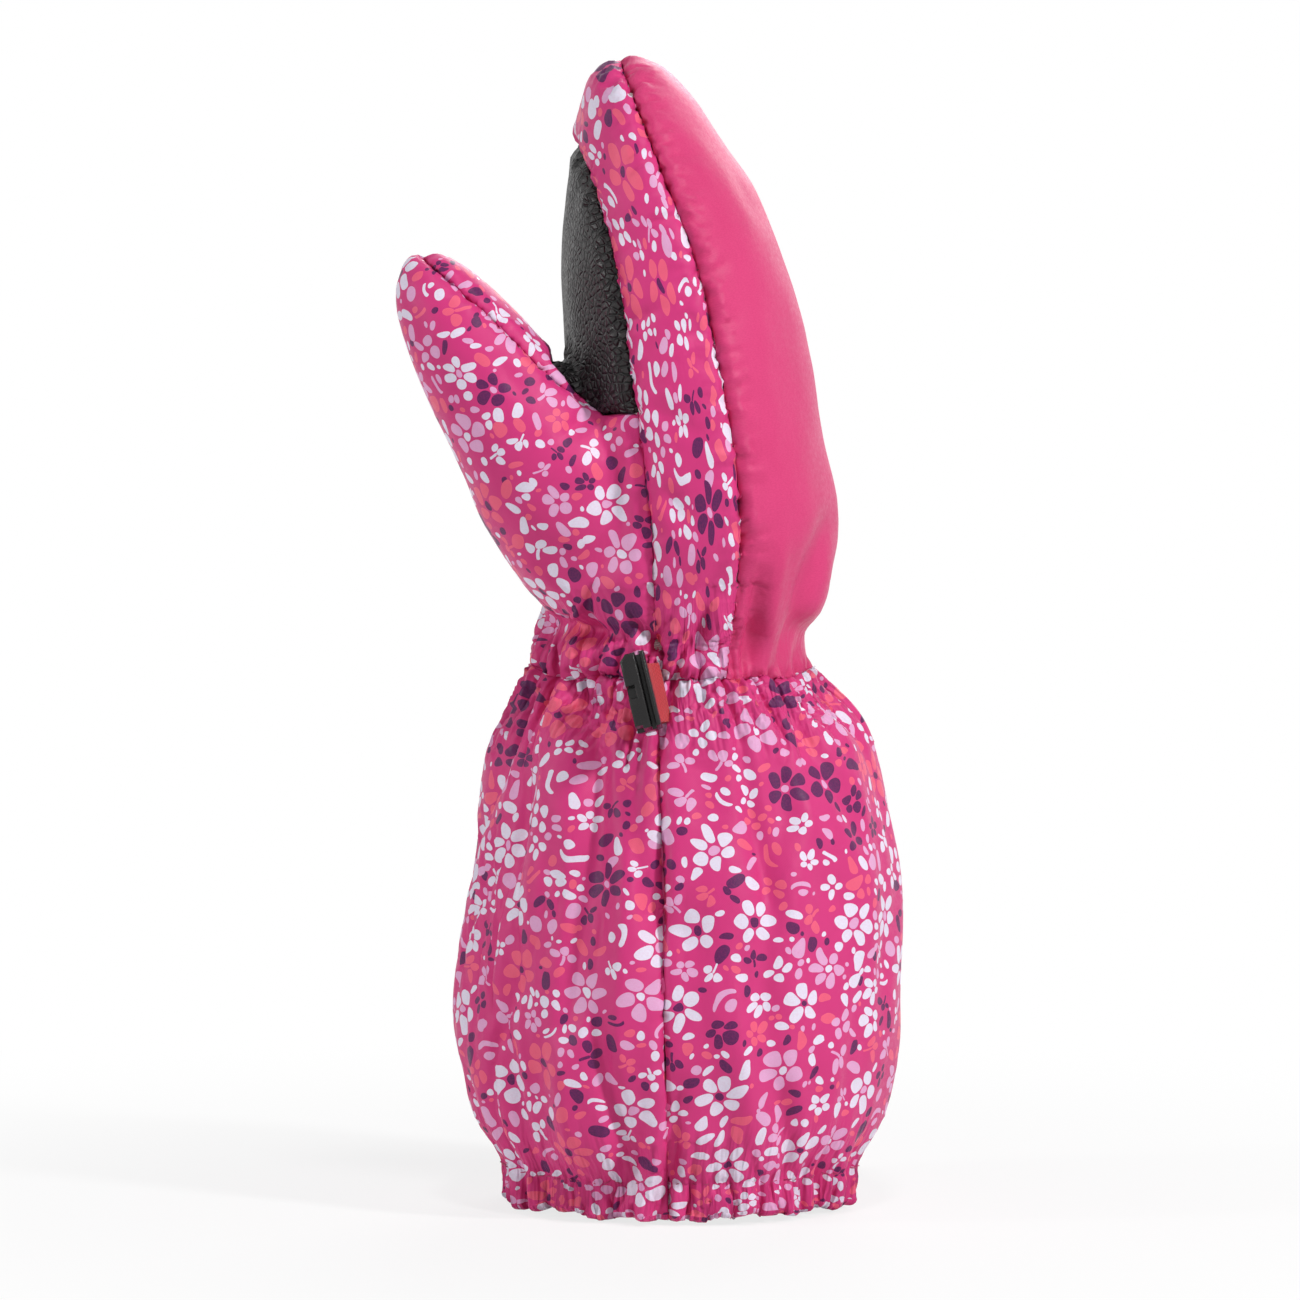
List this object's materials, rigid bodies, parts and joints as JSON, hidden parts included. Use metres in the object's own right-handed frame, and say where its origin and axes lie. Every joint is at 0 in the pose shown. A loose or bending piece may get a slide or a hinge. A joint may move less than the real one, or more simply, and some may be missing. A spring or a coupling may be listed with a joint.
{
  "type": "ski mitten",
  "caption": "Child's right-hand insulated ski mitten with a long gathered cuff, padded palm, printed shell and a hook clip on a tape loop for linking the pair.",
  "frame": {"origin": "middle of the footprint of the whole mitten, on the plane that its hem stands on", "axes": "+Z from the hem up along the fingers, +X out of the back of the hand, -X out of the palm, -Y towards the thumb side"},
  "size_m": [0.1124, 0.103, 0.26],
  "materials": {
    "print_fabric": "printed water-repellent nylon, soft sheen",
    "plain_fabric": "plain satin-weave nylon",
    "palm_leather": "pebbled synthetic leather",
    "wadding": "polyester fibre wadding",
    "fleece": "brushed fleece",
    "cuff_lining": "thin woven lining",
    "elastic": "braided elastic",
    "tape": "woven nylon tape",
    "clip_plastic": "moulded acetal plastic"
  },
  "bodies": {
    "mitten": {"back_panel": "plain_fabric", "side_gusset": "print_fabric", "palm_patch": "palm_leather", "palm_heel": "print_fabric", "thumb_outer_panel": "print_fabric", "thumb_inner_panel": "print_fabric", "cuff_palm_panel": "print_fabric", "cuff_back_panel": "print_fabric", "back_wadding": "wadding", "palm_wadding": "wadding", "thumb_wadding": "wadding", "back_lining": "fleece", "palm_lining": "fleece", "thumb_lining": "fleece", "wrist_elastic": "elastic", "hem_elastic": "elastic", "cuff_lining": "cuff_lining"},
    "tape_loop": {"tape_loop": "tape"},
    "clip": {"clip": "clip_plastic"}
  },
  "joints": [
    {"name": "tape_loop_hinge", "type": "hinge", "parent": "mitten", "child": "tape_loop", "pos_m": [0.00144, -0.03156, 0.11969], "axis": [-0.2314, 0.1791, 0.9562], "range_deg": [-5, 75]},
    {"name": "clip_hinge", "type": "hinge", "parent": "tape_loop", "child": "clip", "pos_m": [-0.00234, -0.03672, 0.11974], "axis": [-0.2314, 0.1791, 0.9562], "range_deg": [-80, 10]}
  ]
}
